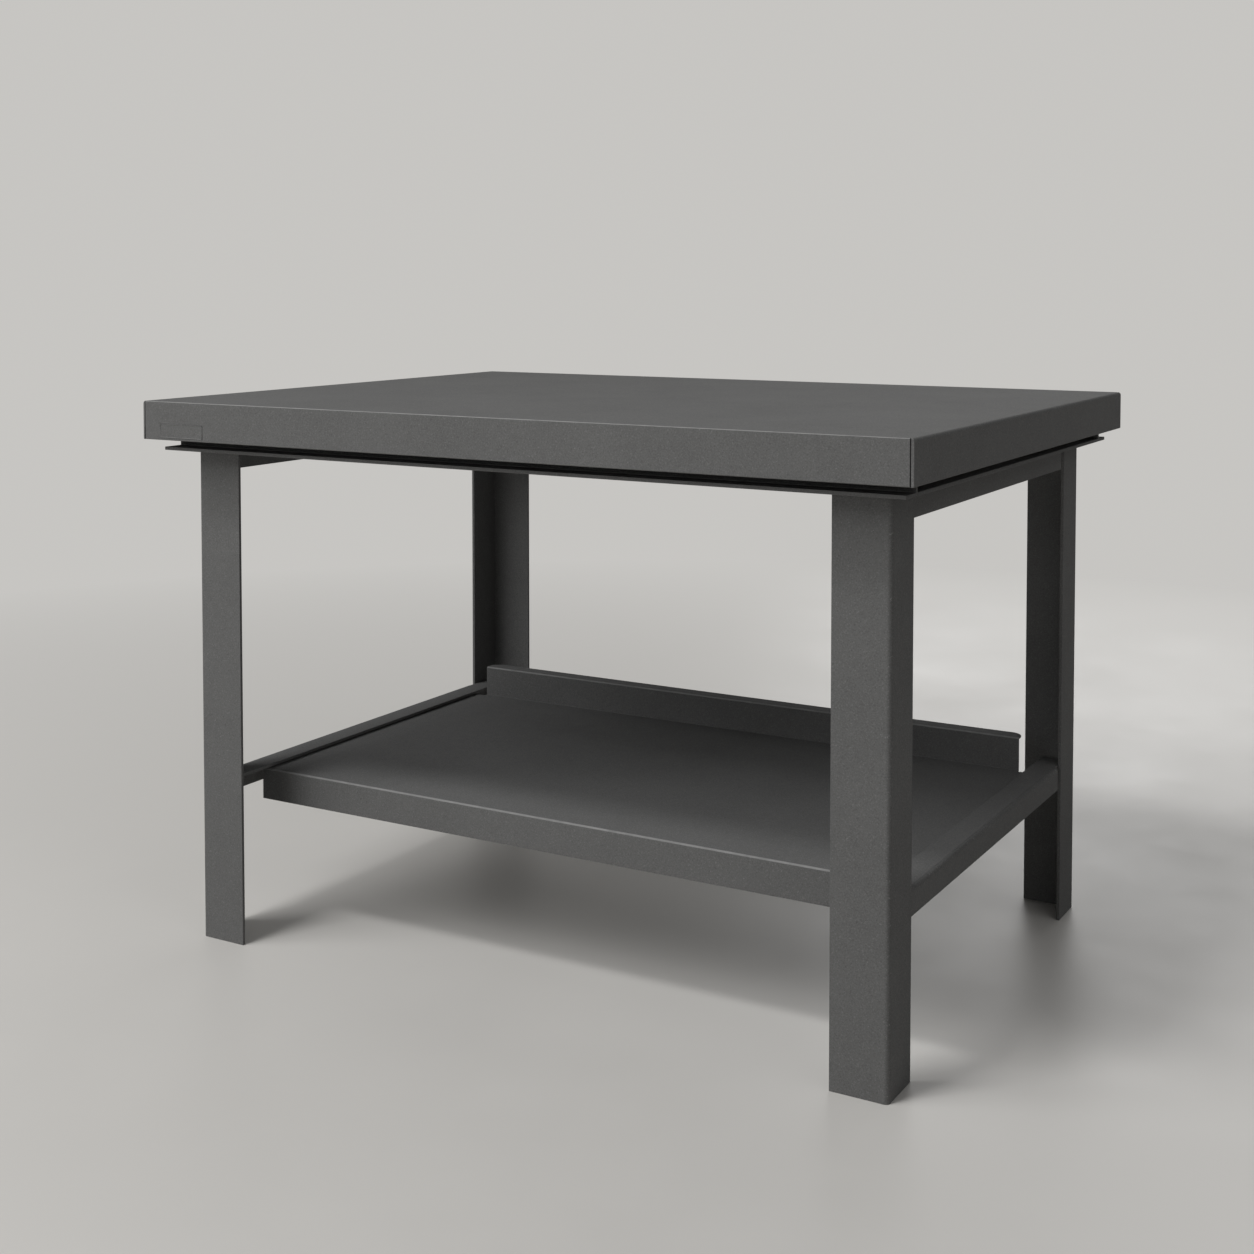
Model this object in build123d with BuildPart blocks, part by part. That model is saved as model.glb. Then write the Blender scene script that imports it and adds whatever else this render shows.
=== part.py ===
"""Steel workbench with a folded worktop and a lower shelf, as separate named pieces.

Millimetres. +X runs along the bench, +Y towards its back, +Z up. The floor is z = 0.
"""

import os

from build123d import *

os.makedirs("parts", exist_ok=True)

# The whole bench
bench_length = 1250
bench_depth = 940
bench_height = 845

# Worktop skin
edge_height = 59
skin_sheet = 4
end_bend = 4.6
front_bend = 1.4
hem_width = 22
seam_gap = 1.6

# Hat ribs under the top sheet
rib_sheet = 3
rib_crown = 64
rib_brim = 22
rib_inset = 225
rib_end_gap = 3

# Legs
leg_inset_x = 52.5
leg_inset_y = 64
leg_flange_x = 81
leg_flange_y = 75.5
leg_sheet = 5
leg_bend = 6.5
leg_tab_gap = 1

# Long top rails
rail_sheet = 5
rail_height = 18
rail_end_inset = 19.5
lip_inset = 25
rail_flange = 42
rail_bend = 6

# Top end rails
end_rail_drop = 43
web_rear_gap = 16

# Lower end rails and shelf
lower_rail_top = 252
lower_rail_height = 36
lower_rail_flange = 42
lower_rail_bend = 5.5
lower_flange_reach = 42
shelf_sheet = 3
shelf_space = 2
shelf_front_inset = 109
shelf_rear_inset = 112
shelf_lip = 50
shelf_lip_inset = 27.5
shelf_bend = 3.2
shelf_web_gap = 5
upstand_height = 53
upstand_return = 29
return_corner = 20
upstand_gap = 16

# Hat ribs under the shelf
shelf_rib_depth = 26
shelf_rib_crown = 44
shelf_rib_brim = 16
shelf_rib_y = 130
shelf_rib_inset = 62

# Fasteners, M8
thread = 8
thread_play = 0.2
bolt_hole = 9
head_flats = 13
head_height = 5.3
nut_height = 6.5
washer_diameter = 16
washer_sheet = 1.6
spacer_diameter = 20
top_bolt_length = 18
top_bolt_back = 22
shelf_bolt_inset = 56
stud_spare = 4

# Levels and faces that follow from the sizes above
top_under = bench_height - edge_height
sheet_under = bench_height - skin_sheet
half_length = bench_length / 2
half_depth = bench_depth / 2
rib_x = half_length - rib_inset
leg_x = half_length - leg_inset_x
leg_y = half_depth - leg_inset_y
leg_inner_x = leg_x - leg_sheet
rail_bottom = top_under - rail_height
rail_end_x = half_length - rail_end_inset
lip_y = half_depth - lip_inset
rail_flange_y = leg_y - rail_flange
leg_edge_y = leg_y - leg_flange_y
web_rear_y = leg_edge_y - web_rear_gap
end_flange_x = leg_x - rail_sheet
lower_flange_under = lower_rail_top - rail_sheet
lower_flange_x = leg_x - lower_rail_flange
lower_flange_y = leg_edge_y + lower_flange_reach
shelf_top = lower_flange_under - shelf_space
shelf_under = shelf_top - shelf_sheet
shelf_side_x = leg_x - rail_sheet - shelf_web_gap
shelf_front = leg_y - shelf_front_inset
shelf_rear = leg_y - shelf_rear_inset
shelf_lip_end = leg_x - shelf_lip_inset
upstand_x = lower_flange_x - upstand_gap
top_bolt_y = leg_y - top_bolt_back
stud_x = leg_x - lower_rail_flange / 2 - rail_sheet / 2
stud_y = shelf_rear - shelf_bolt_inset
stud_length = shelf_space + shelf_sheet + washer_sheet + nut_height + stud_spare


def bolt_places(z):
    """Where the worktop ribs cross the long rails."""
    return [(rib * rib_x, side * top_bolt_y, z) for rib in (-1, 0, 1) for side in (-1, 1)]


def stud_places(z):
    """Where the shelf hangs under the flanges of the lower end rails."""
    return [(side * stud_x, row * stud_y, z) for side in (-1, 1) for row in (-1, 1)]


# Worktop skin: the top sheet with its two end folds runs the whole depth, and the front
# and rear folds fit between the end folds, with an open seam at each corner.
with BuildPart() as worktop_skin:
    with BuildSketch(Plane.XZ) as end_fold:
        with Locations((0, top_under)):
            Rectangle(bench_length, edge_height, align=(Align.CENTER, Align.MIN))
        fillet(end_fold.vertices().group_by(Axis.Y)[-1], end_bend)
        with Locations((0, top_under)):
            Rectangle(
                bench_length - 2 * skin_sheet,
                edge_height - skin_sheet,
                align=(Align.CENTER, Align.MIN),
                mode=Mode.SUBTRACT,
            )
        inner_corners = end_fold.vertices().filter_by(lambda v: abs(v.Y - sheet_under) < 0.01)
        fillet(inner_corners, end_bend - skin_sheet)
    extrude(amount=half_depth, both=True)
    # room for the front and rear folds
    fold_half = half_length - skin_sheet - seam_gap
    for side in (-1, 1):
        with Locations((0, side * half_depth, top_under)):
            Box(
                2 * (half_length - skin_sheet),
                2 * skin_sheet,
                edge_height,
                align=(Align.CENTER, Align.CENTER, Align.MIN),
                mode=Mode.SUBTRACT,
            )
    with BuildSketch(Plane.YZ) as front_fold:
        with BuildLine():
            Polyline(
                (-half_depth + skin_sheet, bench_height),
                (-half_depth, bench_height),
                (-half_depth, top_under),
                (-half_depth + hem_width, top_under),
                (-half_depth + hem_width, top_under + skin_sheet),
                (-half_depth + skin_sheet, top_under + skin_sheet),
                close=True,
            )
        make_face()
        bend_corner = front_fold.vertices().group_by(Axis.X)[0].sort_by(Axis.Y)
        fillet(bend_corner, front_bend)
        mirror(about=Plane.YZ)
    extrude(amount=fold_half, both=True)
    # the front and rear hems stop short of the end hems
    for side_x in (-1, 1):
        for side_y in (-1, 1):
            x = side_x * (half_length - hem_width / 2 - seam_gap / 2 - skin_sheet / 2)
            y = side_y * (half_depth - skin_sheet - (hem_width - skin_sheet) / 2)
            hem_cut = hem_width - skin_sheet + seam_gap
            with Locations((x, y, top_under + skin_sheet / 2)):
                Box(hem_cut, hem_width - skin_sheet, skin_sheet, mode=Mode.SUBTRACT)
    # the end hems, clear of the front and rear folds
    for side in (-1, 1):
        with Locations((side * (half_length - hem_width / 2), 0, top_under + skin_sheet / 2)):
            Box(hem_width, bench_depth - 2 * (skin_sheet + seam_gap), skin_sheet)
    hem_edges = worktop_skin.edges().filter_by(Axis.Y).filter_by(
        lambda e: abs(abs(e.center().X) - half_length) < 0.01 and abs(e.center().Z - top_under) < 0.01
    )
    fillet(hem_edges, front_bend)
worktop_skin.part.label = "worktop_skin"
export_step(worktop_skin.part, "parts/worktop_skin.step")


def hat_section(crown, brim, depth, sheet, bend):
    """Outline of a hat section, brims at the top (y = 0) and the crown at y = -depth."""
    half = crown / 2
    outline = [
        (-half - brim, 0),
        (-half + sheet, 0),
        (-half + sheet, -depth + sheet),
        (half - sheet, -depth + sheet),
        (half - sheet, 0),
        (half + brim, 0),
        (half + brim, -sheet),
        (half, -sheet),
        (half, -depth),
        (-half, -depth),
        (-half, -sheet),
        (-half - brim, -sheet),
    ]
    with BuildSketch() as section:
        with BuildLine():
            Polyline(*outline, close=True)
        make_face()
        outer = section.vertices().filter_by(lambda v: abs(v.Y + depth) < 0.01)
        brims = section.vertices().filter_by(lambda v: abs(v.Y) < 0.01 and abs(v.X) < half)
        fillet(outer + brims, bend)
    return section.sketch


# Worktop ribs: hat sections across the bench, standing on the long rails
rib_depth = sheet_under - top_under
rib_half = half_depth - hem_width - rib_end_gap


def worktop_rib(x, places):
    """One hat rib under the top sheet, with the holes for its bolts."""
    with BuildPart() as rib:
        with BuildSketch(Plane.XZ.offset(-rib_half)):
            with Locations((x, sheet_under)):
                add(hat_section(rib_crown, rib_brim, rib_depth, rib_sheet, rib_sheet))
        extrude(amount=2 * rib_half)
        with Locations([place for place in places if abs(place[0] - x) < rib_crown]):
            Hole(bolt_hole / 2, depth=rib_depth - 2 * rib_sheet)
    return rib


rib_places = bolt_places(top_under + 2 * rib_sheet)
worktop_rib_left = worktop_rib(-rib_x, rib_places)
worktop_rib_left.part.label = "worktop_rib_left"
export_step(worktop_rib_left.part, "parts/worktop_rib_left.step")

worktop_rib_middle = worktop_rib(0, rib_places)
worktop_rib_middle.part.label = "worktop_rib_middle"
export_step(worktop_rib_middle.part, "parts/worktop_rib_middle.step")

worktop_rib_right = worktop_rib(rib_x, rib_places)
worktop_rib_right.part.label = "worktop_rib_right"
export_step(worktop_rib_right.part, "parts/worktop_rib_right.step")

# Long top rails: a Z section whose lip points outward and whose top flange points inward
with BuildPart() as front_top_rail:
    with BuildSketch(Plane.YZ) as rail_section:
        with BuildLine():
            Polyline(
                (-lip_y, rail_bottom),
                (-leg_y, rail_bottom),
                (-leg_y, top_under - rail_sheet),
                (-rail_flange_y, top_under - rail_sheet),
                (-rail_flange_y, top_under),
                (-leg_y - rail_sheet, top_under),
                (-leg_y - rail_sheet, rail_bottom + rail_sheet),
                (-lip_y, rail_bottom + rail_sheet),
                close=True,
            )
        make_face()
        outer_bends = rail_section.vertices().filter_by(
            lambda v: (abs(v.X + leg_y) < 0.01 and abs(v.Y - rail_bottom) < 0.01)
            or (abs(v.X + leg_y + rail_sheet) < 0.01 and abs(v.Y - top_under) < 0.01)
        )
        fillet(outer_bends, rail_bend)
        inner_bends = rail_section.vertices().filter_by(
            lambda v: (abs(v.X + leg_y) < 0.01 and abs(v.Y - top_under + rail_sheet) < 0.01)
            or (abs(v.X + leg_y + rail_sheet) < 0.01 and abs(v.Y - rail_bottom - rail_sheet) < 0.01)
        )
        fillet(inner_bends, rail_bend - rail_sheet)
    extrude(amount=rail_end_x, both=True)
    with Locations([place for place in bolt_places(top_under) if place[1] < 0]):
        Hole(bolt_hole / 2, depth=2 * rail_sheet)
front_top_rail.part.label = "front_top_rail"
export_step(front_top_rail.part, "parts/front_top_rail.step")

with BuildPart() as rear_top_rail:
    add(mirror(front_top_rail.part, about=Plane.XZ))
rear_top_rail.part.label = "rear_top_rail"
export_step(rear_top_rail.part, "parts/rear_top_rail.step")

# Top end rails: the flange points outward and lies on the legs. The web hangs between them, from
# the edge of the front leg to a slot before the rear leg.
with BuildPart() as right_top_end_rail:
    with BuildSketch(Plane.XZ.offset(-web_rear_y)) as end_section:
        with BuildLine():
            Polyline(
                (end_flange_x, rail_bottom + rail_sheet - end_rail_drop),
                (leg_x, rail_bottom + rail_sheet - end_rail_drop),
                (leg_x, rail_bottom),
                (rail_end_x, rail_bottom),
                (rail_end_x, rail_bottom + rail_sheet),
                (end_flange_x, rail_bottom + rail_sheet),
                close=True,
            )
        make_face()
        flange_bend = end_section.vertices().sort_by_distance((end_flange_x, rail_bottom + rail_sheet))[0]
        fillet(flange_bend, rail_bend)
        web_bend = end_section.vertices().sort_by_distance((leg_x, rail_bottom))[0]
        fillet(web_bend, rail_bend - rail_sheet)
    extrude(amount=web_rear_y + leg_edge_y)
    for start, end in ((-leg_y, -leg_edge_y), (web_rear_y, leg_y)):
        with Locations((end_flange_x, start, rail_bottom)):
            Box(
                rail_end_x - end_flange_x,
                end - start,
                rail_sheet,
                align=(Align.MIN, Align.MIN, Align.MIN),
            )
right_top_end_rail.part.label = "right_top_end_rail"
export_step(right_top_end_rail.part, "parts/right_top_end_rail.step")

with BuildPart() as left_top_end_rail:
    add(mirror(right_top_end_rail.part, about=Plane.YZ))
left_top_end_rail.part.label = "left_top_end_rail"
export_step(left_top_end_rail.part, "parts/left_top_end_rail.step")

# Legs: bent L sections. The front flange runs up behind the web of the long rail.
with BuildPart() as front_right_leg:
    with BuildSketch() as leg_section:
        with BuildLine():
            Polyline(
                (leg_x, -leg_y),
                (leg_x, -leg_y + leg_flange_y),
                (leg_inner_x, -leg_y + leg_flange_y),
                (leg_inner_x, -leg_y + leg_sheet),
                (leg_x - leg_flange_x, -leg_y + leg_sheet),
                (leg_x - leg_flange_x, -leg_y),
                close=True,
            )
        make_face()
        outer_corner = leg_section.vertices().sort_by_distance((leg_x, -leg_y))[0]
        fillet(outer_corner, leg_bend)
        inner_corner = leg_section.vertices().sort_by_distance((leg_inner_x, -leg_y + leg_sheet))[0]
        fillet(inner_corner, leg_bend - leg_sheet)
    extrude(amount=top_under - rail_bend - leg_tab_gap)
    with Locations((leg_x - leg_bend - rail_sheet, -leg_y, rail_bottom)):
        Box(
            2 * leg_flange_x,
            2 * leg_flange_y,
            2 * rail_height,
            align=(Align.MIN, Align.CENTER, Align.MIN),
            mode=Mode.SUBTRACT,
        )
front_right_leg.part.label = "front_right_leg"
export_step(front_right_leg.part, "parts/front_right_leg.step")

with BuildPart() as front_left_leg:
    add(mirror(front_right_leg.part, about=Plane.YZ))
front_left_leg.part.label = "front_left_leg"
export_step(front_left_leg.part, "parts/front_left_leg.step")

with BuildPart() as rear_right_leg:
    add(mirror(front_right_leg.part, about=Plane.XZ))
rear_right_leg.part.label = "rear_right_leg"
export_step(rear_right_leg.part, "parts/rear_right_leg.step")

with BuildPart() as rear_left_leg:
    add(mirror(front_left_leg.part, about=Plane.XZ))
rear_left_leg.part.label = "rear_left_leg"
export_step(rear_left_leg.part, "parts/rear_left_leg.step")

# Lower end rails: the web is flush with the legs and ends like the web above it, the top flange
# points inward and runs on into the corner of each leg
with BuildPart() as right_lower_end_rail:
    with BuildSketch(Plane.XZ.offset(-web_rear_y)) as lower_section:
        with BuildLine():
            Polyline(
                (leg_x, lower_rail_top),
                (lower_flange_x, lower_rail_top),
                (lower_flange_x, lower_flange_under),
                (leg_x - rail_sheet, lower_flange_under),
                (leg_x - rail_sheet, lower_rail_top - lower_rail_height),
                (leg_x, lower_rail_top - lower_rail_height),
                close=True,
            )
        make_face()
        top_corner = lower_section.vertices().sort_by_distance((leg_x, lower_rail_top))[0]
        fillet(top_corner, lower_rail_bend)
        under_corner = lower_section.vertices().sort_by_distance((leg_x - rail_sheet, lower_flange_under))[0]
        fillet(under_corner, lower_rail_bend - rail_sheet)
    extrude(amount=web_rear_y + leg_edge_y)
    for start, end in ((-lower_flange_y, -leg_edge_y), (web_rear_y, lower_flange_y)):
        with Locations((lower_flange_x, start, lower_flange_under)):
            Box(
                leg_inner_x - lower_flange_x,
                end - start,
                rail_sheet,
                align=(Align.MIN, Align.MIN, Align.MIN),
            )
right_lower_end_rail.part.label = "right_lower_end_rail"
export_step(right_lower_end_rail.part, "parts/right_lower_end_rail.step")

with BuildPart() as left_lower_end_rail:
    add(mirror(right_lower_end_rail.part, about=Plane.YZ))
left_lower_end_rail.part.label = "left_lower_end_rail"
export_step(left_lower_end_rail.part, "parts/left_lower_end_rail.step")

# Shelf tray: one sheet with a front lip and a rear upstand that is folded back at its top
shelf_mid = shelf_top + upstand_height
with BuildPart() as shelf_tray:
    with BuildSketch(Plane.XY.offset(shelf_under)):
        with Locations((0, (shelf_rear - shelf_front) / 2)):
            Rectangle(2 * shelf_side_x, shelf_front + shelf_rear - 4 * shelf_bend)
    extrude(amount=shelf_sheet)
    with BuildSketch(Plane.YZ) as lip_section:
        with BuildLine():
            Polyline(
                (-shelf_front, shelf_top),
                (-shelf_front + 3 * shelf_bend, shelf_top),
                (-shelf_front + 3 * shelf_bend, shelf_under),
                (-shelf_front + shelf_sheet, shelf_under),
                (-shelf_front + shelf_sheet, shelf_top - shelf_lip),
                (-shelf_front, shelf_top - shelf_lip),
                close=True,
            )
        make_face()
        lip_corner = lip_section.vertices().sort_by_distance((-shelf_front, shelf_top))[0]
        fillet(lip_corner, shelf_bend)
        lip_inside = lip_section.vertices().sort_by_distance((-shelf_front + shelf_sheet, shelf_under))[0]
        fillet(lip_inside, shelf_bend - shelf_sheet)
    extrude(amount=shelf_lip_end, both=True)
    with BuildSketch(Plane.YZ) as back_section:
        with BuildLine():
            Polyline(
                (shelf_rear - 3 * shelf_bend, shelf_top),
                (shelf_rear, shelf_top),
                (shelf_rear, shelf_mid),
                (shelf_rear + upstand_return, shelf_mid),
                (shelf_rear + upstand_return, shelf_mid - shelf_sheet),
                (shelf_rear + shelf_sheet, shelf_mid - shelf_sheet),
                (shelf_rear + shelf_sheet, shelf_under),
                (shelf_rear - 3 * shelf_bend, shelf_under),
                close=True,
            )
        make_face()
        base_inside = back_section.vertices().sort_by_distance((shelf_rear, shelf_top))[0]
        fillet(base_inside, shelf_bend - shelf_sheet)
        base_outside = back_section.vertices().sort_by_distance((shelf_rear + shelf_sheet, shelf_under))[0]
        fillet(base_outside, shelf_bend)
        brow_outside = back_section.vertices().sort_by_distance((shelf_rear, shelf_mid))[0]
        fillet(brow_outside, shelf_bend)
        brow_inside = back_section.vertices().sort_by_distance(
            (shelf_rear + shelf_sheet, shelf_mid - shelf_sheet)
        )[0]
        fillet(brow_inside, shelf_bend - shelf_sheet)
    extrude(amount=upstand_x, both=True)
    return_edges = shelf_tray.edges().filter_by(Axis.Z).filter_by(
        lambda e: abs(e.center().Y - shelf_rear - upstand_return) < 0.01
    )
    fillet(return_edges, return_corner)
    with Locations(stud_places(shelf_top)):
        Hole(bolt_hole / 2, depth=2 * shelf_sheet)
shelf_tray.part.label = "shelf_tray"
export_step(shelf_tray.part, "parts/shelf_tray.step")

# Shelf ribs: hat sections along the underside of the shelf
with BuildPart() as front_shelf_rib:
    rib_reach = leg_x - shelf_rib_inset
    with BuildSketch(Plane.YZ.offset(-rib_reach)):
        with Locations((-shelf_rib_y, shelf_under)):
            add(hat_section(shelf_rib_crown, shelf_rib_brim, shelf_rib_depth, rib_sheet, rib_sheet))
    extrude(amount=2 * rib_reach)
front_shelf_rib.part.label = "front_shelf_rib"
export_step(front_shelf_rib.part, "parts/front_shelf_rib.step")

with BuildPart() as rear_shelf_rib:
    add(mirror(front_shelf_rib.part, about=Plane.XZ))
rear_shelf_rib.part.label = "rear_shelf_rib"
export_step(rear_shelf_rib.part, "parts/rear_shelf_rib.step")


def rings(places, diameter, hole, thickness):
    """Flat rings with their lower faces at the given places."""
    with BuildPart() as group:
        with BuildSketch(Plane.XY.offset(places[0][2])):
            with Locations([place[:2] for place in places]):
                Circle(diameter / 2)
                Circle(hole / 2, mode=Mode.SUBTRACT)
        extrude(amount=thickness)
    return group


def nuts(places):
    """Hexagon nuts with their lower faces at the given places."""
    with BuildPart() as group:
        with BuildSketch(Plane.XY.offset(places[0][2])):
            with Locations([place[:2] for place in places]):
                RegularPolygon(head_flats / 2, 6, major_radius=False)
                Circle(thread / 2 + thread_play / 2, mode=Mode.SUBTRACT)
        extrude(amount=nut_height)
    return group


# Fasteners of the worktop: bolts from below, into weld nuts inside the ribs
washer_level = top_under - rail_sheet - washer_sheet
with BuildPart() as top_bolts:
    with BuildSketch(Plane.XY.offset(washer_level - head_height)):
        with Locations([place[:2] for place in bolt_places(0)]):
            RegularPolygon(head_flats / 2, 6, major_radius=False)
    extrude(amount=head_height)
    with BuildSketch(Plane.XY.offset(washer_level)):
        with Locations([place[:2] for place in bolt_places(0)]):
            Circle(thread / 2)
    extrude(amount=top_bolt_length)
top_bolts.part.label = "top_bolts"
export_step(top_bolts.part, "parts/top_bolts.step")

top_washers = rings(bolt_places(washer_level), washer_diameter, bolt_hole, washer_sheet)
top_washers.part.label = "top_washers"
export_step(top_washers.part, "parts/top_washers.step")

top_weld_nuts = nuts(bolt_places(top_under + rib_sheet))
top_weld_nuts.part.label = "top_weld_nuts"
export_step(top_weld_nuts.part, "parts/top_weld_nuts.step")

# Fasteners of the shelf: studs welded under the flanges of the lower end rails
with BuildPart() as shelf_studs:
    with BuildSketch(Plane.XY.offset(lower_flange_under - stud_length)):
        with Locations([place[:2] for place in stud_places(0)]):
            Circle(thread / 2)
    extrude(amount=stud_length)
shelf_studs.part.label = "shelf_studs"
export_step(shelf_studs.part, "parts/shelf_studs.step")

shelf_spacers = rings(stud_places(shelf_top), spacer_diameter, bolt_hole, shelf_space)
shelf_spacers.part.label = "shelf_spacers"
export_step(shelf_spacers.part, "parts/shelf_spacers.step")

shelf_washers = rings(stud_places(shelf_under - washer_sheet), washer_diameter, bolt_hole, washer_sheet)
shelf_washers.part.label = "shelf_washers"
export_step(shelf_washers.part, "parts/shelf_washers.step")

nut_level = shelf_under - washer_sheet - nut_height
shelf_nuts = nuts(stud_places(nut_level))
shelf_nuts.part.label = "shelf_nuts"
export_step(shelf_nuts.part, "parts/shelf_nuts.step")
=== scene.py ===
"""The looks of a folded steel workbench: powder-coated sheet, zinc fasteners, a bare name plate."""

import math

import bpy
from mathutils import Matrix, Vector


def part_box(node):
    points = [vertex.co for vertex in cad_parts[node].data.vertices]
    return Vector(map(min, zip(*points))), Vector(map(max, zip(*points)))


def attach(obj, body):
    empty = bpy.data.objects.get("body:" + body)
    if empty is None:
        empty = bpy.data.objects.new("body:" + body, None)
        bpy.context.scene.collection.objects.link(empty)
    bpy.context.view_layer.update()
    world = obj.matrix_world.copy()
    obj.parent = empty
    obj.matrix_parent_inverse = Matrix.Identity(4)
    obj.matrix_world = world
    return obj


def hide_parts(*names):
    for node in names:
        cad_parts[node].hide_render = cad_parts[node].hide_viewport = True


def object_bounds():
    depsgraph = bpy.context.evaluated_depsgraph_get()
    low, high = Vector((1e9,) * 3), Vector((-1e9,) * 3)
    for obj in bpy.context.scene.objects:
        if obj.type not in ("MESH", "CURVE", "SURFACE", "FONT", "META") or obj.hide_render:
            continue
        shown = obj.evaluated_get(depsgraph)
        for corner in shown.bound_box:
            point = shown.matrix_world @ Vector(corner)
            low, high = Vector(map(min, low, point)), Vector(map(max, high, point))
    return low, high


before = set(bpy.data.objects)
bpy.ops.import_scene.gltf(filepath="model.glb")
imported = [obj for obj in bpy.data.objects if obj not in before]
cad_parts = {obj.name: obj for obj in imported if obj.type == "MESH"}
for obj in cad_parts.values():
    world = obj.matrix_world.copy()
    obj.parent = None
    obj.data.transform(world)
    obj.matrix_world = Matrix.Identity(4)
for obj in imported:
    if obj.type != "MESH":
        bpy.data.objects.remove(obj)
cad_box = [list(corner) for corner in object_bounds()]

# The camera that the photograph was taken with, in metres in the bench's own frame.
camera_place = (1.3809, -2.4602, 1.0413)
camera_lens = 51.125
camera_sensor = 36.0
camera_tilt = math.radians(87.479)
camera_turn = math.radians(29.996)
camera_shift_down = 0.2202

# How a copied sheet is cleaned, and how its coat rounds cut edges. Lengths are in metres.
merge_reach = 0.00002
flat_turn = math.radians(0.4)
coat_rounding = 0.0006
rounding_steps = 2
sharp_turn = math.radians(50.0)
smooth_turn = math.radians(35.0)

# A face looks straight along an axis when its normal reaches this far along it.
straight = 0.99

# The narrow corner seams of the worktop, counted inward from its ends, and the depth of their outer edges.
seam_start = 0.0039
seam_middle = 0.0048
seam_end = 0.0057
seam_outer_edge = 0.0020

# How far the coat fills the front seams; the left one is all but closed in the photograph.
left_seam_fill = 0.0009
right_seam_fill = 0.0001

# The bare plate low on the left of the worktop's front face, and the pocket that it lies in.
plate_left = -0.5905
plate_right = -0.5055
plate_low = 0.7895
plate_high = 0.8110
plate_corner = 0.0025
plate_corner_steps = 3
plate_sink = 0.0001
plate_thickness = 0.0014
plate_rim = 0.0010
plate_rim_slope = 0.0003
pocket_depth = 0.0016
pocket_gap = 0.0003
pocket_right_gap = 0.0012

# Faces at the front that are smaller than this, in square metres, belong to its bends or the end folds.
least_front_area = 0.0005

# M8 fasteners.
hexagon_sides = 6
half_side = math.pi / hexagon_sides
flat_radius = 0.0065
corner_radius = flat_radius / math.cos(half_side)
chamfer_radius = 0.0061
chamfer_slope = math.radians(30.0)
chamfer_height = (corner_radius - chamfer_radius) * math.tan(chamfer_slope)
bar_sides = 48
thread_crest = 0.0040
thread_root = 0.0034
thread_pitch = 0.00125
thread_sides = 20
nut_bore = 0.0041
ring_hole = 0.0045
ring_sides = 48
ring_rounding = 0.0002

# Finishes, as linear colours.
coat_tone = (0.128, 0.128, 0.1265)
inner_tone = (0.118, 0.118, 0.117)
zinc_tone = (0.56, 0.57, 0.58)
floor_tone = (0.60, 0.585, 0.56)
backdrop_tone = (0.57, 0.56, 0.54)
white = (1.0, 1.0, 1.0)

# Noises of the finishes, each as waves in a metre, detail and roughness.
coat_clouds = (7.0, 3.0, 0.55)
coat_mottle = (70.0, 3.0, 0.6)
coat_grain = (480.0, 3.0, 0.7)
coat_peel = (900.0, 1.0, 0.5)
coat_nibs = (430.0, 0.0, 0.5)
# This noise varies the coat's roughness and breaks up the painted highlight on its upper front folds.
coat_highlight_and_roughness = (38.0, 4.0, 0.65)
coat_flecks = (260.0, 2.0, 0.6)
zinc_clouds = (160.0, 3.0, 0.6)
floor_clouds = (2.2, 4.0, 0.6)

# How noise is turned, in radians, so that no face lies along its lattice.
grain_turn = (0.5, 0.7, 0.3)

# Shades within a finish, as shares of its tone.
coat_cloud_shades = (0.95, 1.05)
mottle_shade = 1.14
dark_grain_shade = 0.56
light_grain_shade = 1.65
nib_shade = 1.9
# The lighter shade of the painted highlight on folds that look up and to the front, where they would catch
# the lamps.
fold_highlight_shade = 2.1
chip_shade = 2.0
zinc_shades = (0.85, 1.05)
floor_shades = (0.96, 1.04)

# The noise over which a shade sets in, from its start to its end, and how strong it is at these.
most_noise = (0.3, 0.7)
mottle_noise = (0.40, 0.85)
mottle_strength = (0.0, 0.5)
dark_grain_noise = (0.46, 0.20)
light_grain_noise = (0.54, 0.80)
grain_strength = (0.0, 0.9)
nib_noise = (0.80, 0.86)
nib_strength = (0.0, 0.5)
# Noise and strength of the painted highlight on the upper front folds.
fold_highlight_noise = (0.35, 0.65)
fold_highlight_strength = (0.6, 1.0)
chip_noise = (0.64, 0.70)
chip_strength = (0.0, 0.7)

# Folds, told by the largest part of a face's normal, and which of them look up and to the front, where a
# painted highlight goes.
fold_normals = (0.998, 0.95)
upward_normals = (0.10, 0.40)
forward_normals = (-0.10, -0.40)

# Roughness at the ends of a finish's noise, its specular level, and its bumps' strength and depth.
coat_roughness = (0.86, 0.94)
coat_specular = 0.05
coat_bump = (0.12, 0.0005)
zinc_roughness = (0.30, 0.48)
zinc_bump = (0.05, 0.0003)
floor_roughness = (0.42, 0.55)
floor_specular = 0.35

# A Mix node's colour sockets, by number, because its sockets share their names.
mix_first = 6
mix_second = 7
mix_result = 2

# The floor, in metres, and how far from the middle it starts to run into the backdrop and has become it.
floor_radius = 30.0
floor_sides = 96
floor_fade = (0.9, 3.6)

# Where the lamps look, and the strength of the room's even light.
lamp_target = (0.0, 0.0, 0.5)
room_light = 0.135


def set_up_camera():
    """Puts the camera where the photograph was taken from."""
    data = bpy.data.cameras.new("photo_camera")
    data.sensor_width = camera_sensor
    data.lens = camera_lens
    data.shift_y = -camera_shift_down
    camera = bpy.data.objects.new("photo_camera", data)
    camera.location = camera_place
    camera.rotation_euler = (camera_tilt, 0.0, camera_turn)
    bpy.context.collection.objects.link(camera)
    bpy.context.scene.camera = camera


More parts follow.
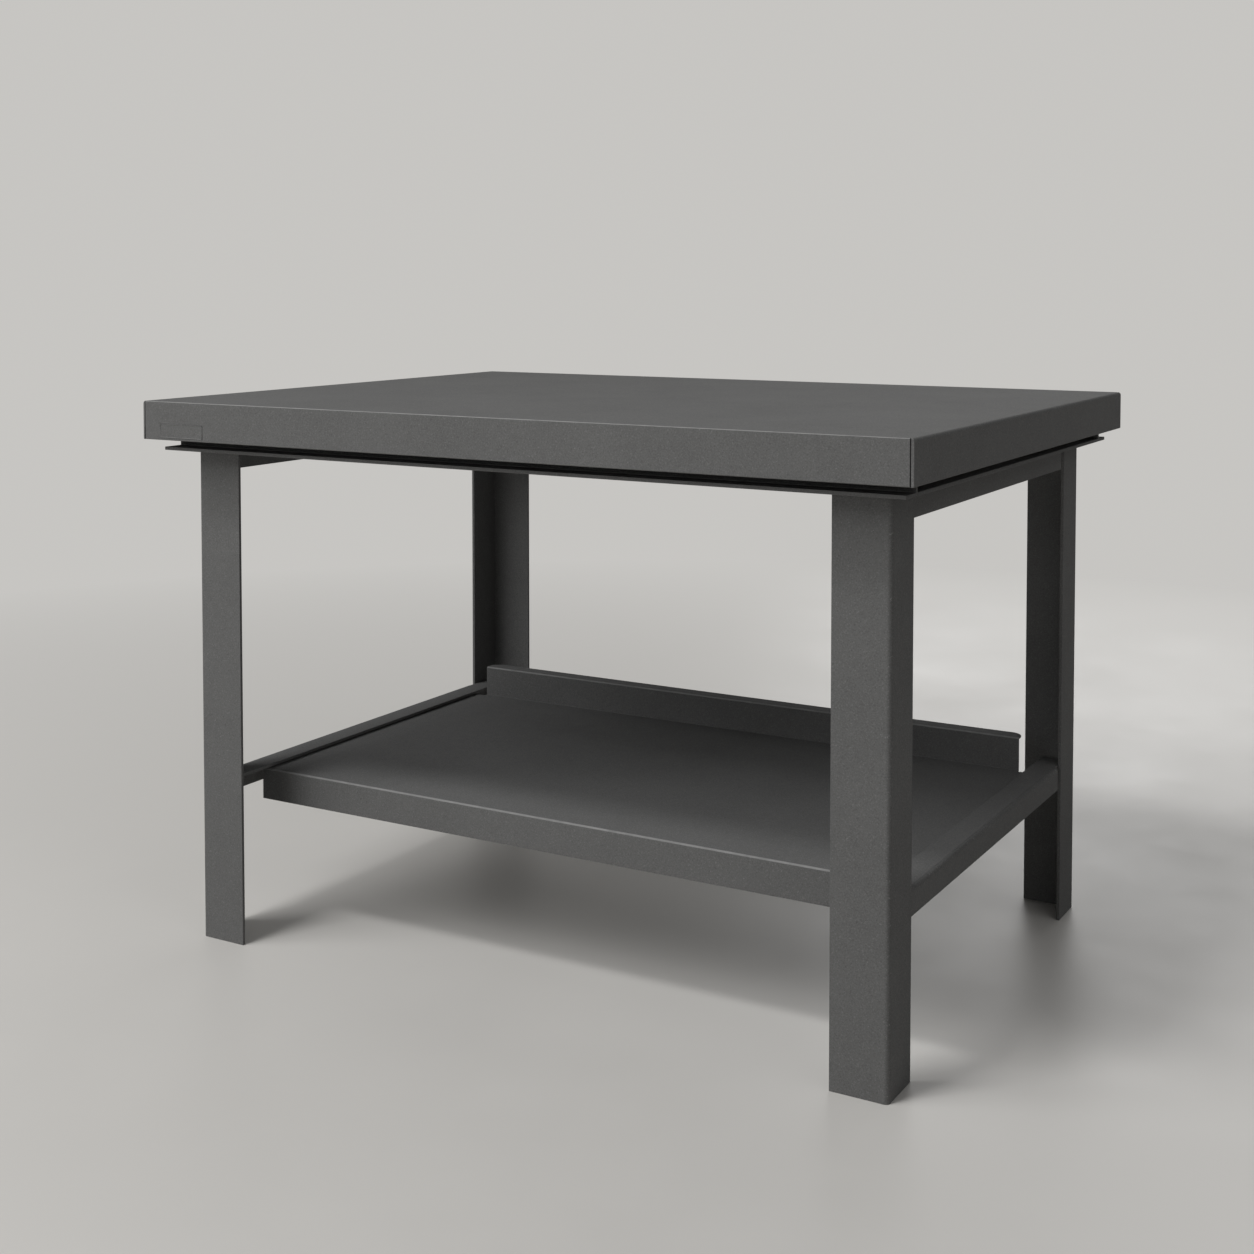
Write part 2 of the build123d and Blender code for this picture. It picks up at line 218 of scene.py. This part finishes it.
class Finish:
    """A material and short ways to add nodes to it."""

    def __init__(self, name):
        self.material = bpy.data.materials.new(name)
        self.material.use_nodes = True
        self.nodes = self.material.node_tree.nodes
        self.links = self.material.node_tree.links
        self.shader = self.nodes["Principled BSDF"]
        whereabouts = self.nodes.new("ShaderNodeTexCoord")
        turning = self.nodes.new("ShaderNodeMapping")
        turning.inputs["Rotation"].default_value = grain_turn
        self.join(whereabouts.outputs["Object"], turning.inputs["Vector"])
        self.place = turning.outputs["Vector"]
        self.facing = whereabouts.outputs["Normal"]

    def join(self, source, target):
        """Links an output to an input."""
        self.links.new(source, target)

    def noise(self, kind):
        """Noise over the piece; its kind is its waves in a metre, its detail and its roughness."""
        node = self.nodes.new("ShaderNodeTexNoise")
        for word, value in zip(("Scale", "Detail", "Roughness"), kind):
            node.inputs[word].default_value = value
        self.join(self.place, node.inputs["Vector"])
        return node.outputs["Fac"]

    def spread(self, value, given, wanted=(0.0, 1.0)):
        """Turns the given range of a value into the wanted one, held at its ends."""
        node = self.nodes.new("ShaderNodeMapRange")
        node.inputs["From Min"].default_value = given[0]
        node.inputs["From Max"].default_value = given[1]
        node.inputs["To Min"].default_value = wanted[0]
        node.inputs["To Max"].default_value = wanted[1]
        self.join(value, node.inputs["Value"])
        return node.outputs["Result"]

    def combine(self, first, second, operation):
        """Puts two values together by a Math node."""
        node = self.nodes.new("ShaderNodeMath")
        node.operation = operation
        self.join(first, node.inputs[0])
        self.join(second, node.inputs[1])
        return node.outputs["Value"]

    def blend(self, amount, first, second):
        """Mixes two colours; each is a linear colour or a node's output."""
        node = self.nodes.new("ShaderNodeMix")
        node.data_type = "RGBA"
        self.join(amount, node.inputs["Factor"])
        for number, colour in ((mix_first, first), (mix_second, second)):
            if isinstance(colour, tuple):
                node.inputs[number].default_value = (*colour, 1.0)
            else:
                self.join(colour, node.inputs[number])
        return node.outputs[mix_result]

    def folds(self):
        """One where the sheet turns a corner, nought on flat faces; then the same for front upper folds."""
        size = self.nodes.new("ShaderNodeVectorMath")
        size.operation = "ABSOLUTE"
        self.join(self.facing, size.inputs[0])
        sizes = self.nodes.new("ShaderNodeSeparateXYZ")
        self.join(size.outputs["Vector"], sizes.inputs[0])
        largest = self.combine(sizes.outputs["X"], sizes.outputs["Y"], "MAXIMUM")
        largest = self.combine(largest, sizes.outputs["Z"], "MAXIMUM")
        ways = self.nodes.new("ShaderNodeSeparateXYZ")
        self.join(self.facing, ways.inputs[0])
        upward = self.spread(ways.outputs["Z"], upward_normals)
        forward = self.spread(ways.outputs["Y"], forward_normals)
        turned = self.spread(largest, fold_normals)
        upper = self.combine(turned, upward, "MULTIPLY")
        return turned, self.combine(upper, forward, "MULTIPLY")

    def bump(self, height, strength, depth):
        """Gives the shader a bumpy surface."""
        node = self.nodes.new("ShaderNodeBump")
        node.inputs["Strength"].default_value = strength
        node.inputs["Distance"].default_value = depth
        self.join(height, node.inputs["Height"])
        self.join(node.outputs["Normal"], self.shader.inputs["Normal"])


def scaled(tone, share):
    """A tone made lighter or darker."""
    return tuple(channel * share for channel in tone)


def powder_coat(name, tone):
    """Matt dark-grey powder coat: soft clouds, fine grain, a few nibs, flecked folds, and a painted
    highlight on its upper front folds.
    """
    finish = Finish(name)
    clouds = finish.spread(finish.noise(coat_clouds), most_noise)
    mottle = finish.noise(coat_mottle)
    grain = finish.noise(coat_grain)
    nibs = finish.noise(coat_nibs)
    highlight_and_roughness = finish.noise(coat_highlight_and_roughness)
    flecks = finish.noise(coat_flecks)
    turned, upper_front = finish.folds()
    # Painted highlight: folds that look up and to the front are lightened, broken up by noise, as if they
    # caught the light.
    painted_fold_highlight = finish.combine(upper_front, finish.spread(highlight_and_roughness, fold_highlight_noise, fold_highlight_strength), "MULTIPLY")
    chips = finish.combine(turned, finish.spread(flecks, chip_noise, chip_strength), "MULTIPLY")
    layers = (
        (finish.spread(mottle, mottle_noise, mottle_strength), mottle_shade),
        (finish.spread(grain, dark_grain_noise, grain_strength), dark_grain_shade),
        (finish.spread(grain, light_grain_noise, grain_strength), light_grain_shade),
        (finish.spread(nibs, nib_noise, nib_strength), nib_shade),
        (painted_fold_highlight, fold_highlight_shade),
        (chips, chip_shade),
    )
    colour = finish.blend(clouds, *(scaled(tone, shade) for shade in coat_cloud_shades))
    for amount, shade in layers:
        colour = finish.blend(amount, colour, scaled(tone, shade))
    finish.join(colour, finish.shader.inputs["Base Color"])
    finish.join(finish.spread(highlight_and_roughness, most_noise, coat_roughness), finish.shader.inputs["Roughness"])
    finish.shader.inputs["Specular IOR Level"].default_value = coat_specular
    finish.bump(finish.combine(finish.noise(coat_peel), grain, "ADD"), *coat_bump)
    return finish.material


def zinc_plate(name):
    """Pale zinc plate on the fasteners, a little cloudy."""
    finish = Finish(name)
    clouds = finish.noise(zinc_clouds)
    shades = (scaled(zinc_tone, shade) for shade in zinc_shades)
    colour = finish.blend(finish.spread(clouds, most_noise), *shades)
    finish.join(colour, finish.shader.inputs["Base Color"])
    finish.join(finish.spread(clouds, most_noise, zinc_roughness), finish.shader.inputs["Roughness"])
    finish.shader.inputs["Metallic"].default_value = 1.0
    finish.bump(clouds, *zinc_bump)
    return finish.material


def pick(piece):
    """Makes a piece the only selected one, and the active one."""
    bpy.ops.object.select_all(action="DESELECT")
    bpy.context.view_layer.objects.active = piece
    piece.select_set(True)


def settled():
    """The piece just made or moved, with its place and size taken over by its mesh."""
    bpy.ops.object.transform_apply(location=True, rotation=True, scale=True)
    return bpy.context.object


def select_only(piece, kind, wanted):
    """Leaves the piece in edit mode with only its wanted faces or edges selected."""
    bpy.ops.object.mode_set(mode="EDIT")
    bpy.ops.mesh.select_mode(type=kind)
    bpy.ops.mesh.select_all(action="DESELECT")
    bpy.ops.object.mode_set(mode="OBJECT")
    items = piece.data.polygons if kind == "FACE" else piece.data.edges
    for item in items:
        item.select = wanted(item)
    bpy.ops.object.mode_set(mode="EDIT")


def draw_out(way):
    """Extrudes what is selected in edit mode by a way in space."""
    bpy.ops.mesh.extrude_region_move(TRANSFORM_OT_translate={"value": way})


def face_outward():
    """Turns every face of the piece in edit mode outward, and ends its editing."""
    bpy.ops.mesh.select_all(action="SELECT")
    bpy.ops.mesh.normals_make_consistent(inside=False)
    bpy.ops.object.mode_set(mode="OBJECT")


def soften(piece, width):
    """Rounds the sharp edges of the active piece."""
    rounding = piece.modifiers.new("soft_edges", "BEVEL")
    rounding.width = width
    rounding.segments = rounding_steps
    rounding.limit_method = "ANGLE"
    rounding.angle_limit = sharp_turn
    bpy.ops.object.modifier_apply(modifier="soft_edges")


def carve(piece, cutter):
    """Takes the cutter's space out of the piece."""
    pick(piece)
    cut = piece.modifiers.new("carve", "BOOLEAN")
    cut.operation = "DIFFERENCE"
    cut.solver = "EXACT"
    cut.object = cutter
    bpy.ops.object.modifier_apply(modifier="carve")
    bpy.data.objects.remove(cutter)


def stand_in(piece, name, finish, node_name=None):
    """Names a finished piece, gives it its finish and lets it stand for its CAD node, if it has one."""
    piece.name = name
    piece.data.materials.clear()
    piece.data.materials.append(finish)
    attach(piece, "root")
    if node_name:
        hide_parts(node_name)


def copied_sheet(name):
    """A copy of a CAD sheet piece, with its loose triangles merged into whole faces."""
    piece = bpy.data.objects.new(name + "_coated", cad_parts[name].data.copy())
    bpy.context.collection.objects.link(piece)
    pick(piece)
    bpy.ops.mesh.customdata_custom_splitnormals_clear()
    bpy.ops.object.mode_set(mode="EDIT")
    bpy.ops.mesh.select_all(action="SELECT")
    bpy.ops.mesh.remove_doubles(threshold=merge_reach)
    bpy.ops.mesh.dissolve_limited(angle_limit=flat_turn)
    bpy.ops.object.mode_set(mode="OBJECT")
    return piece


def fill_seams(skin):
    """Brings the ends of the worktop's folded front closer to the end folds, as the coat does."""
    for way, fill in ((-1.0, left_seam_fill), (1.0, right_seam_fill)):

        def front_end(side):
            from_end = cad_box[1][0] - way * side.center.x
            at_seam = seam_middle < from_end < seam_end
            return way * side.normal.x > straight and at_seam and side.center.y < 0.0

        select_only(skin, "FACE", front_end)
        bpy.ops.transform.translate(value=(way * fill, 0.0, 0.0))
        bpy.ops.object.mode_set(mode="OBJECT")


def in_seam(point):
    """Whether a point lies in a corner seam of the worktop, behind the outer edge of the folded front."""
    from_end = cad_box[1][0] - abs(point.x)
    from_front = cad_box[1][1] - abs(point.y)
    on_outer_edge = from_end > seam_middle and from_front < seam_outer_edge
    return seam_start < from_end < seam_end and not on_outer_edge


def outward_corners(mesh):
    """The edges of a mesh, by number, that stand out as sharp corners, without those in the seams."""
    meetings = {}
    for side in mesh.polygons:
        for corner in side.loop_indices:
            loop = mesh.loops[corner]
            meetings.setdefault(loop.edge_index, []).append((side.normal.copy(), loop.vertex_index))
    corners = set()
    for number, sides in meetings.items():
        if len(sides) != 2:
            continue
        (normal, start), (other_normal, end) = sides
        first = mesh.vertices[start].co
        last = mesh.vertices[end].co
        stands_out = normal.cross(other_normal).dot(last - first) > 0.0
        turn = normal.angle(other_normal)
        if stands_out and turn > sharp_turn and not (in_seam(first) and in_seam(last)):
            corners.add(number)
    return corners


def round_corners(piece):
    """Rounds the cut edges of a sheet as its coat does."""
    pick(piece)
    bpy.ops.object.shade_smooth()
    corners = outward_corners(piece.data)
    select_only(piece, "EDGE", lambda edge: edge.index in corners)
    bpy.ops.mesh.bevel(offset=coat_rounding, segments=rounding_steps, affect="EDGES", loop_slide=False)
    bpy.ops.mesh.select_all(action="SELECT")
    bpy.ops.mesh.remove_doubles(threshold=merge_reach)
    bpy.ops.object.mode_set(mode="OBJECT")


def cut_plate_pocket(skin):
    """Lets the shallow pocket for the plate into the worktop's front face."""
    left = plate_left - pocket_gap
    right = plate_right + pocket_right_gap
    low = plate_low - pocket_gap
    high = plate_high + pocket_gap

    def on_front(side):
        at_front = abs(side.center.y - cad_box[0][1]) < merge_reach
        return side.normal.y < -straight and at_front and side.area > least_front_area

    def between(side):
        return on_front(side) and left < side.center.x < right

    for border in (left, right):
        select_only(skin, "FACE", on_front)
        bpy.ops.mesh.bisect(plane_co=(border, 0.0, 0.0), plane_no=(1.0, 0.0, 0.0))
    for border in (low, high):
        select_only(skin, "FACE", between)
        bpy.ops.mesh.bisect(plane_co=(0.0, 0.0, border), plane_no=(0.0, 0.0, 1.0))
    select_only(skin, "FACE", lambda side: between(side) and low < side.center.z < high)
    draw_out((0.0, pocket_depth, 0.0))
    bpy.ops.object.mode_set(mode="OBJECT")


def even_normals(piece):
    """Lets the flat faces of a sheet shade flat and its folds and rounded edges smoothly."""
    evening = piece.modifiers.new("even_faces", "WEIGHTED_NORMAL")
    evening.mode = "FACE_AREA"
    evening.keep_sharp = False
    bpy.ops.object.modifier_apply(modifier="even_faces")


def dress_sheets(finishes):
    """Gives every CAD node the finish of its slot, and the sheet pieces their coat's rounded edges."""
    for name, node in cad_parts.items():
        slot_name = node.material_slots[0].material.name.split(".")[0]
        if slot_name != "zinc_plate":
            piece = copied_sheet(name)
            if name == "worktop_skin":
                fill_seams(piece)
            round_corners(piece)
            if name == "worktop_skin":
                cut_plate_pocket(piece)
            even_normals(piece)
            stand_in(piece, name + "_coated", finishes[slot_name], name)
        node.material_slots[0].material = finishes[slot_name]


def rounded_block(low, high, corner):
    """A block between two corners of space, with its four edges along Y rounded."""
    middle = [(a + b) / 2 for a, b in zip(low, high)]
    size = [b - a for a, b in zip(low, high)]
    bpy.ops.mesh.primitive_cube_add(size=1.0, location=middle, scale=size)
    block = settled()

    def along_depth(edge):
        start, end = (block.data.vertices[number].co for number in edge.vertices)
        return abs(start.y - end.y) > size[1] / 2

    select_only(block, "EDGE", along_depth)
    bpy.ops.mesh.bevel(offset=corner, segments=plate_corner_steps, affect="EDGES")
    bpy.ops.object.mode_set(mode="OBJECT")
    return block


def bare_plate(finish):
    """A small plate with a raised rim, in its pocket on the worktop's front face, left bare."""
    face = cad_box[0][1] + plate_sink
    low = (plate_left, face, plate_low)
    high = (plate_right, face + plate_thickness, plate_high)
    plate = rounded_block(low, high, plate_corner)
    select_only(plate, "FACE", lambda side: side.normal.y < -straight)
    bpy.ops.mesh.inset(thickness=plate_rim, depth=0.0)
    bpy.ops.mesh.inset(thickness=plate_rim_slope, depth=-plate_rim_slope)
    bpy.ops.object.mode_set(mode="OBJECT")
    soften(plate, plate_rim_slope)
    bpy.ops.object.shade_smooth_by_angle(angle=smooth_turn)
    stand_in(plate, "bare_name_plate", finish)


def hexagon_places(name, middle_row):
    """Where the hexagons of a node stand, worked out from its box and one hexagon's own reach."""
    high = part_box(name)[1]
    x = high[0] - corner_radius
    y = high[1] - flat_radius
    rows = (-x, 0.0, x) if middle_row else (-x, x)
    return [(row, side) for row in rows for side in (-y, y)]


def node_levels(name):
    """The lowest and highest level of a node."""
    low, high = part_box(name)
    return low[2], high[2]


def hexagon(place, low, high, chamfer_top):
    """A hexagon cut from round bar, chamfered below and, for a nut, above as well."""
    x, y = place
    start = low + chamfer_height
    end = high - chamfer_height if chamfer_top else high
    middle = (x, y, (start + end) / 2)
    bpy.ops.mesh.primitive_cylinder_add(
        vertices=bar_sides, radius=corner_radius, depth=end - start, location=middle
    )
    piece = settled()
    shrink = chamfer_radius / corner_radius
    ends = (-1.0, 1.0) if chamfer_top else (-1.0,)
    for way in ends:
        level = low if way < 0 else high
        select_only(piece, "FACE", lambda side: side.normal.z * way > straight)
        draw_out((0.0, 0.0, way * chamfer_height))
        bpy.ops.transform.resize(value=(shrink, shrink, 1.0), center_override=(x, y, level))
    for number in range(hexagon_sides):
        angle = half_side * (1 + 2 * number)
        outward = (math.cos(angle), math.sin(angle), 0.0)
        flat = (x + flat_radius * outward[0], y + flat_radius * outward[1], low)
        bpy.ops.mesh.select_all(action="SELECT")
        bpy.ops.mesh.bisect(plane_co=flat, plane_no=outward, use_fill=True, clear_outer=True)
    face_outward()
    return piece


def bored_nut(place, low, high):
    """A hexagon nut with its bore."""
    nut = hexagon(place, low, high, chamfer_top=True)
    middle = (place[0], place[1], (low + high) / 2)
    bpy.ops.mesh.primitive_cylinder_add(
        vertices=bar_sides, radius=nut_bore, depth=2 * (high - low), location=middle
    )
    carve(nut, settled())
    return nut


def threaded_rod(place, low, high):
    """A rod with the ridges of its thread, from one level to another."""
    x, y = place
    bpy.ops.mesh.primitive_circle_add(
        vertices=thread_sides, radius=thread_root, fill_type="NGON", location=(x, y, low)
    )
    piece = settled()
    ridges = round((high - low) / thread_pitch)
    step = (high - low) / (2 * ridges)
    bpy.ops.object.mode_set(mode="EDIT")
    bpy.ops.mesh.select_all(action="SELECT")
    level = low
    for ridge in range(ridges):
        for growth in (thread_crest / thread_root, thread_root / thread_crest):
            level = level + step
            draw_out((0.0, 0.0, step))
            bpy.ops.transform.resize(value=(growth, growth, 1.0), center_override=(x, y, level))
    face_outward()
    return piece


def flat_ring(place, low, high, outer):
    """A washer or spacer with rounded rims."""
    base = (*place, low)
    bpy.ops.mesh.primitive_circle_add(vertices=ring_sides, radius=outer, location=base)
    piece = settled()
    bpy.ops.object.mode_set(mode="EDIT")
    bpy.ops.mesh.primitive_circle_add(vertices=ring_sides, radius=ring_hole, location=base)
    bpy.ops.mesh.select_all(action="SELECT")
    bpy.ops.mesh.bridge_edge_loops()
    bpy.ops.mesh.select_all(action="SELECT")
    draw_out((0.0, 0.0, high - low))
    face_outward()
    soften(piece, ring_rounding)
    return piece


def joined(pieces):
    """Several parts of one fastener as one piece."""
    pick(pieces[0])
    for piece in pieces:
        piece.select_set(True)
    bpy.ops.object.join()
    return bpy.context.object


def set_out(first, places, name, node_name, finish):
    """Copies a fastener from its first place to the others, each with its own mesh."""
    pick(first)
    bpy.ops.object.shade_smooth_by_angle(angle=smooth_turn)
    pieces = [first]
    for place in places[1:]:
        pick(first)
        bpy.ops.object.duplicate(linked=False)
        way = (place[0] - places[0][0], place[1] - places[0][1], 0.0)
        bpy.ops.transform.translate(value=way)
        pieces.append(settled())
    for number, piece in enumerate(pieces, start=1):
        stand_in(piece, name + "_" + str(number), finish, node_name)


def set_out_rings(places, name, node_name, finish):
    """Washers or spacers at their places, as high and as wide as their node says."""
    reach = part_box(node_name)[1][0] - places[-1][0]
    ring = flat_ring(places[0], *node_levels(node_name), reach)
    set_out(ring, places, name, node_name, finish)


def fit_top_bolts(finish):
    """The bolts that hold the worktop, with their washers and weld nuts."""
    places = hexagon_places("top_bolts", middle_row=True)
    bolt_low, bolt_high = node_levels("top_bolts")
    washer_low = node_levels("top_washers")[0]
    head = hexagon(places[0], bolt_low, washer_low, chamfer_top=False)
    shank = threaded_rod(places[0], washer_low, bolt_high)
    set_out(joined([head, shank]), places, "top_bolt", "top_bolts", finish)
    set_out_rings(places, "top_washer", "top_washers", finish)
    weld_nut = bored_nut(places[0], *node_levels("top_weld_nuts"))
    set_out(weld_nut, places, "top_weld_nut", "top_weld_nuts", finish)


def fit_shelf_studs(finish):
    """The studs that hang the shelf, with their spacers, washers and nuts."""
    places = hexagon_places("shelf_nuts", middle_row=False)
    stud = threaded_rod(places[0], *node_levels("shelf_studs"))
    set_out(stud, places, "shelf_stud", "shelf_studs", finish)
    set_out_rings(places, "shelf_spacer", "shelf_spacers", finish)
    set_out_rings(places, "shelf_washer", "shelf_washers", finish)
    nut = bored_nut(places[0], *node_levels("shelf_nuts"))
    set_out(nut, places, "shelf_nut", "shelf_nuts", finish)


def dress_bench():
    """All finishes, the coated sheets, the bare plate and the fasteners."""
    finishes = {
        "worktop_coat": powder_coat("worktop_coat_finish", coat_tone),
        "frame_coat": powder_coat("frame_coat_finish", coat_tone),
        "leg_coat": powder_coat("leg_coat_finish", coat_tone),
        "shelf_coat": powder_coat("shelf_coat_finish", coat_tone),
        "inner_coat": powder_coat("inner_coat_finish", inner_tone),
        "zinc_plate": zinc_plate("zinc_plate_finish"),
    }
    dress_sheets(finishes)
    bare_plate(finishes["worktop_coat"])
    fit_top_bolts(finishes["zinc_plate"])
    fit_shelf_studs(finishes["zinc_plate"])


def seen_directly(nodes, links):
    """One for rays from the camera, from glossy faces and through clear ones, nought for diffuse light."""
    path = nodes.new("ShaderNodeLightPath")
    share = path.outputs["Is Camera Ray"]
    for kind in ("Is Glossy Ray", "Is Transmission Ray"):
        larger = nodes.new("ShaderNodeMath")
        larger.operation = "MAXIMUM"
        links.new(share, larger.inputs[0])
        links.new(path.outputs[kind], larger.inputs[1])
        share = larger.outputs["Value"]
    return share


def floor_finish():
    """A pale, faintly clouded floor that runs into the backdrop's tone away from the bench."""
    finish = Finish("pale_floor_finish")
    clouds = finish.noise(floor_clouds)
    colour = finish.blend(clouds, *(scaled(floor_tone, shade) for shade in floor_shades))
    finish.join(colour, finish.shader.inputs["Base Color"])
    finish.join(finish.spread(clouds, most_noise, floor_roughness), finish.shader.inputs["Roughness"])
    finish.shader.inputs["Specular IOR Level"].default_value = floor_specular
    length = finish.nodes.new("ShaderNodeVectorMath")
    length.operation = "LENGTH"
    finish.join(finish.place, length.inputs[0])
    fade = finish.spread(length.outputs["Value"], floor_fade)
    fade = finish.combine(fade, seen_directly(finish.nodes, finish.links), "MULTIPLY")
    glow = finish.nodes.new("ShaderNodeEmission")
    glow.inputs["Color"].default_value = (*backdrop_tone, 1.0)
    mix = finish.nodes.new("ShaderNodeMixShader")
    finish.join(fade, mix.inputs["Fac"])
    finish.join(finish.shader.outputs["BSDF"], mix.inputs[1])
    finish.join(glow.outputs["Emission"], mix.inputs[2])
    finish.join(mix.outputs["Shader"], finish.nodes["Material Output"].inputs["Surface"])
    return finish.material


def lay_floor():
    """A wide round floor under the bench."""
    bpy.ops.mesh.primitive_circle_add(vertices=floor_sides, radius=floor_radius, fill_type="NGON")
    floor = bpy.context.object
    floor.name = "floor"
    floor.data.materials.append(floor_finish())


def soft_lamp(name, compass, height, far, wide, tall, power):
    """A wide lamp that looks at the bench; compass and height are the angles it is seen at from there."""
    data = bpy.data.lights.new(name, "AREA")
    data.shape = "RECTANGLE"
    data.size = wide
    data.size_y = tall
    data.energy = power
    lamp = bpy.data.objects.new(name, data)
    lamp.rotation_euler = (math.radians(90.0 - height), 0.0, math.radians(compass))
    away = lamp.rotation_euler.to_matrix() @ Vector((0.0, 0.0, far))
    lamp.location = Vector(lamp_target) + away
    lamp.visible_camera = False
    bpy.context.collection.objects.link(lamp)


def hang_lamps():
    """A high lamp and a wide one from the front left, and weak ones from the other sides."""
    soft_lamp("high_lamp", compass=-20.0, height=60.0, far=6.0, wide=1.2, tall=0.8, power=109.0)
    soft_lamp("wide_lamp", compass=-35.0, height=38.0, far=6.0, wide=4.5, tall=3.0, power=188.0)
    soft_lamp("front_lamp", compass=-5.0, height=13.0, far=6.0, wide=1.6, tall=0.8, power=17.5)
    soft_lamp("right_lamp", compass=75.0, height=45.0, far=5.0, wide=4.0, tall=2.0, power=18.5)
    soft_lamp("back_lamp", compass=180.0, height=8.0, far=5.0, wide=4.0, tall=1.2, power=62.0)


def set_up_room():
    """An even dim light from all round, and a plain backdrop for what looks at it directly."""
    world = bpy.data.worlds.new("room")
    bpy.context.scene.world = world
    world.use_nodes = True
    nodes = world.node_tree.nodes
    links = world.node_tree.links
    room = nodes["Background"]
    room.inputs["Color"].default_value = (*white, 1.0)
    room.inputs["Strength"].default_value = room_light
    backdrop = nodes.new("ShaderNodeBackground")
    backdrop.inputs["Color"].default_value = (*backdrop_tone, 1.0)
    mix = nodes.new("ShaderNodeMixShader")
    links.new(seen_directly(nodes, links), mix.inputs["Fac"])
    links.new(room.outputs["Background"], mix.inputs[1])
    links.new(backdrop.outputs["Background"], mix.inputs[2])
    links.new(mix.outputs["Shader"], nodes["World Output"].inputs["Surface"])


set_up_camera()
dress_bench()
lay_floor()
hang_lamps()
set_up_room()

bpy.context.scene.view_settings.view_transform = "Standard"
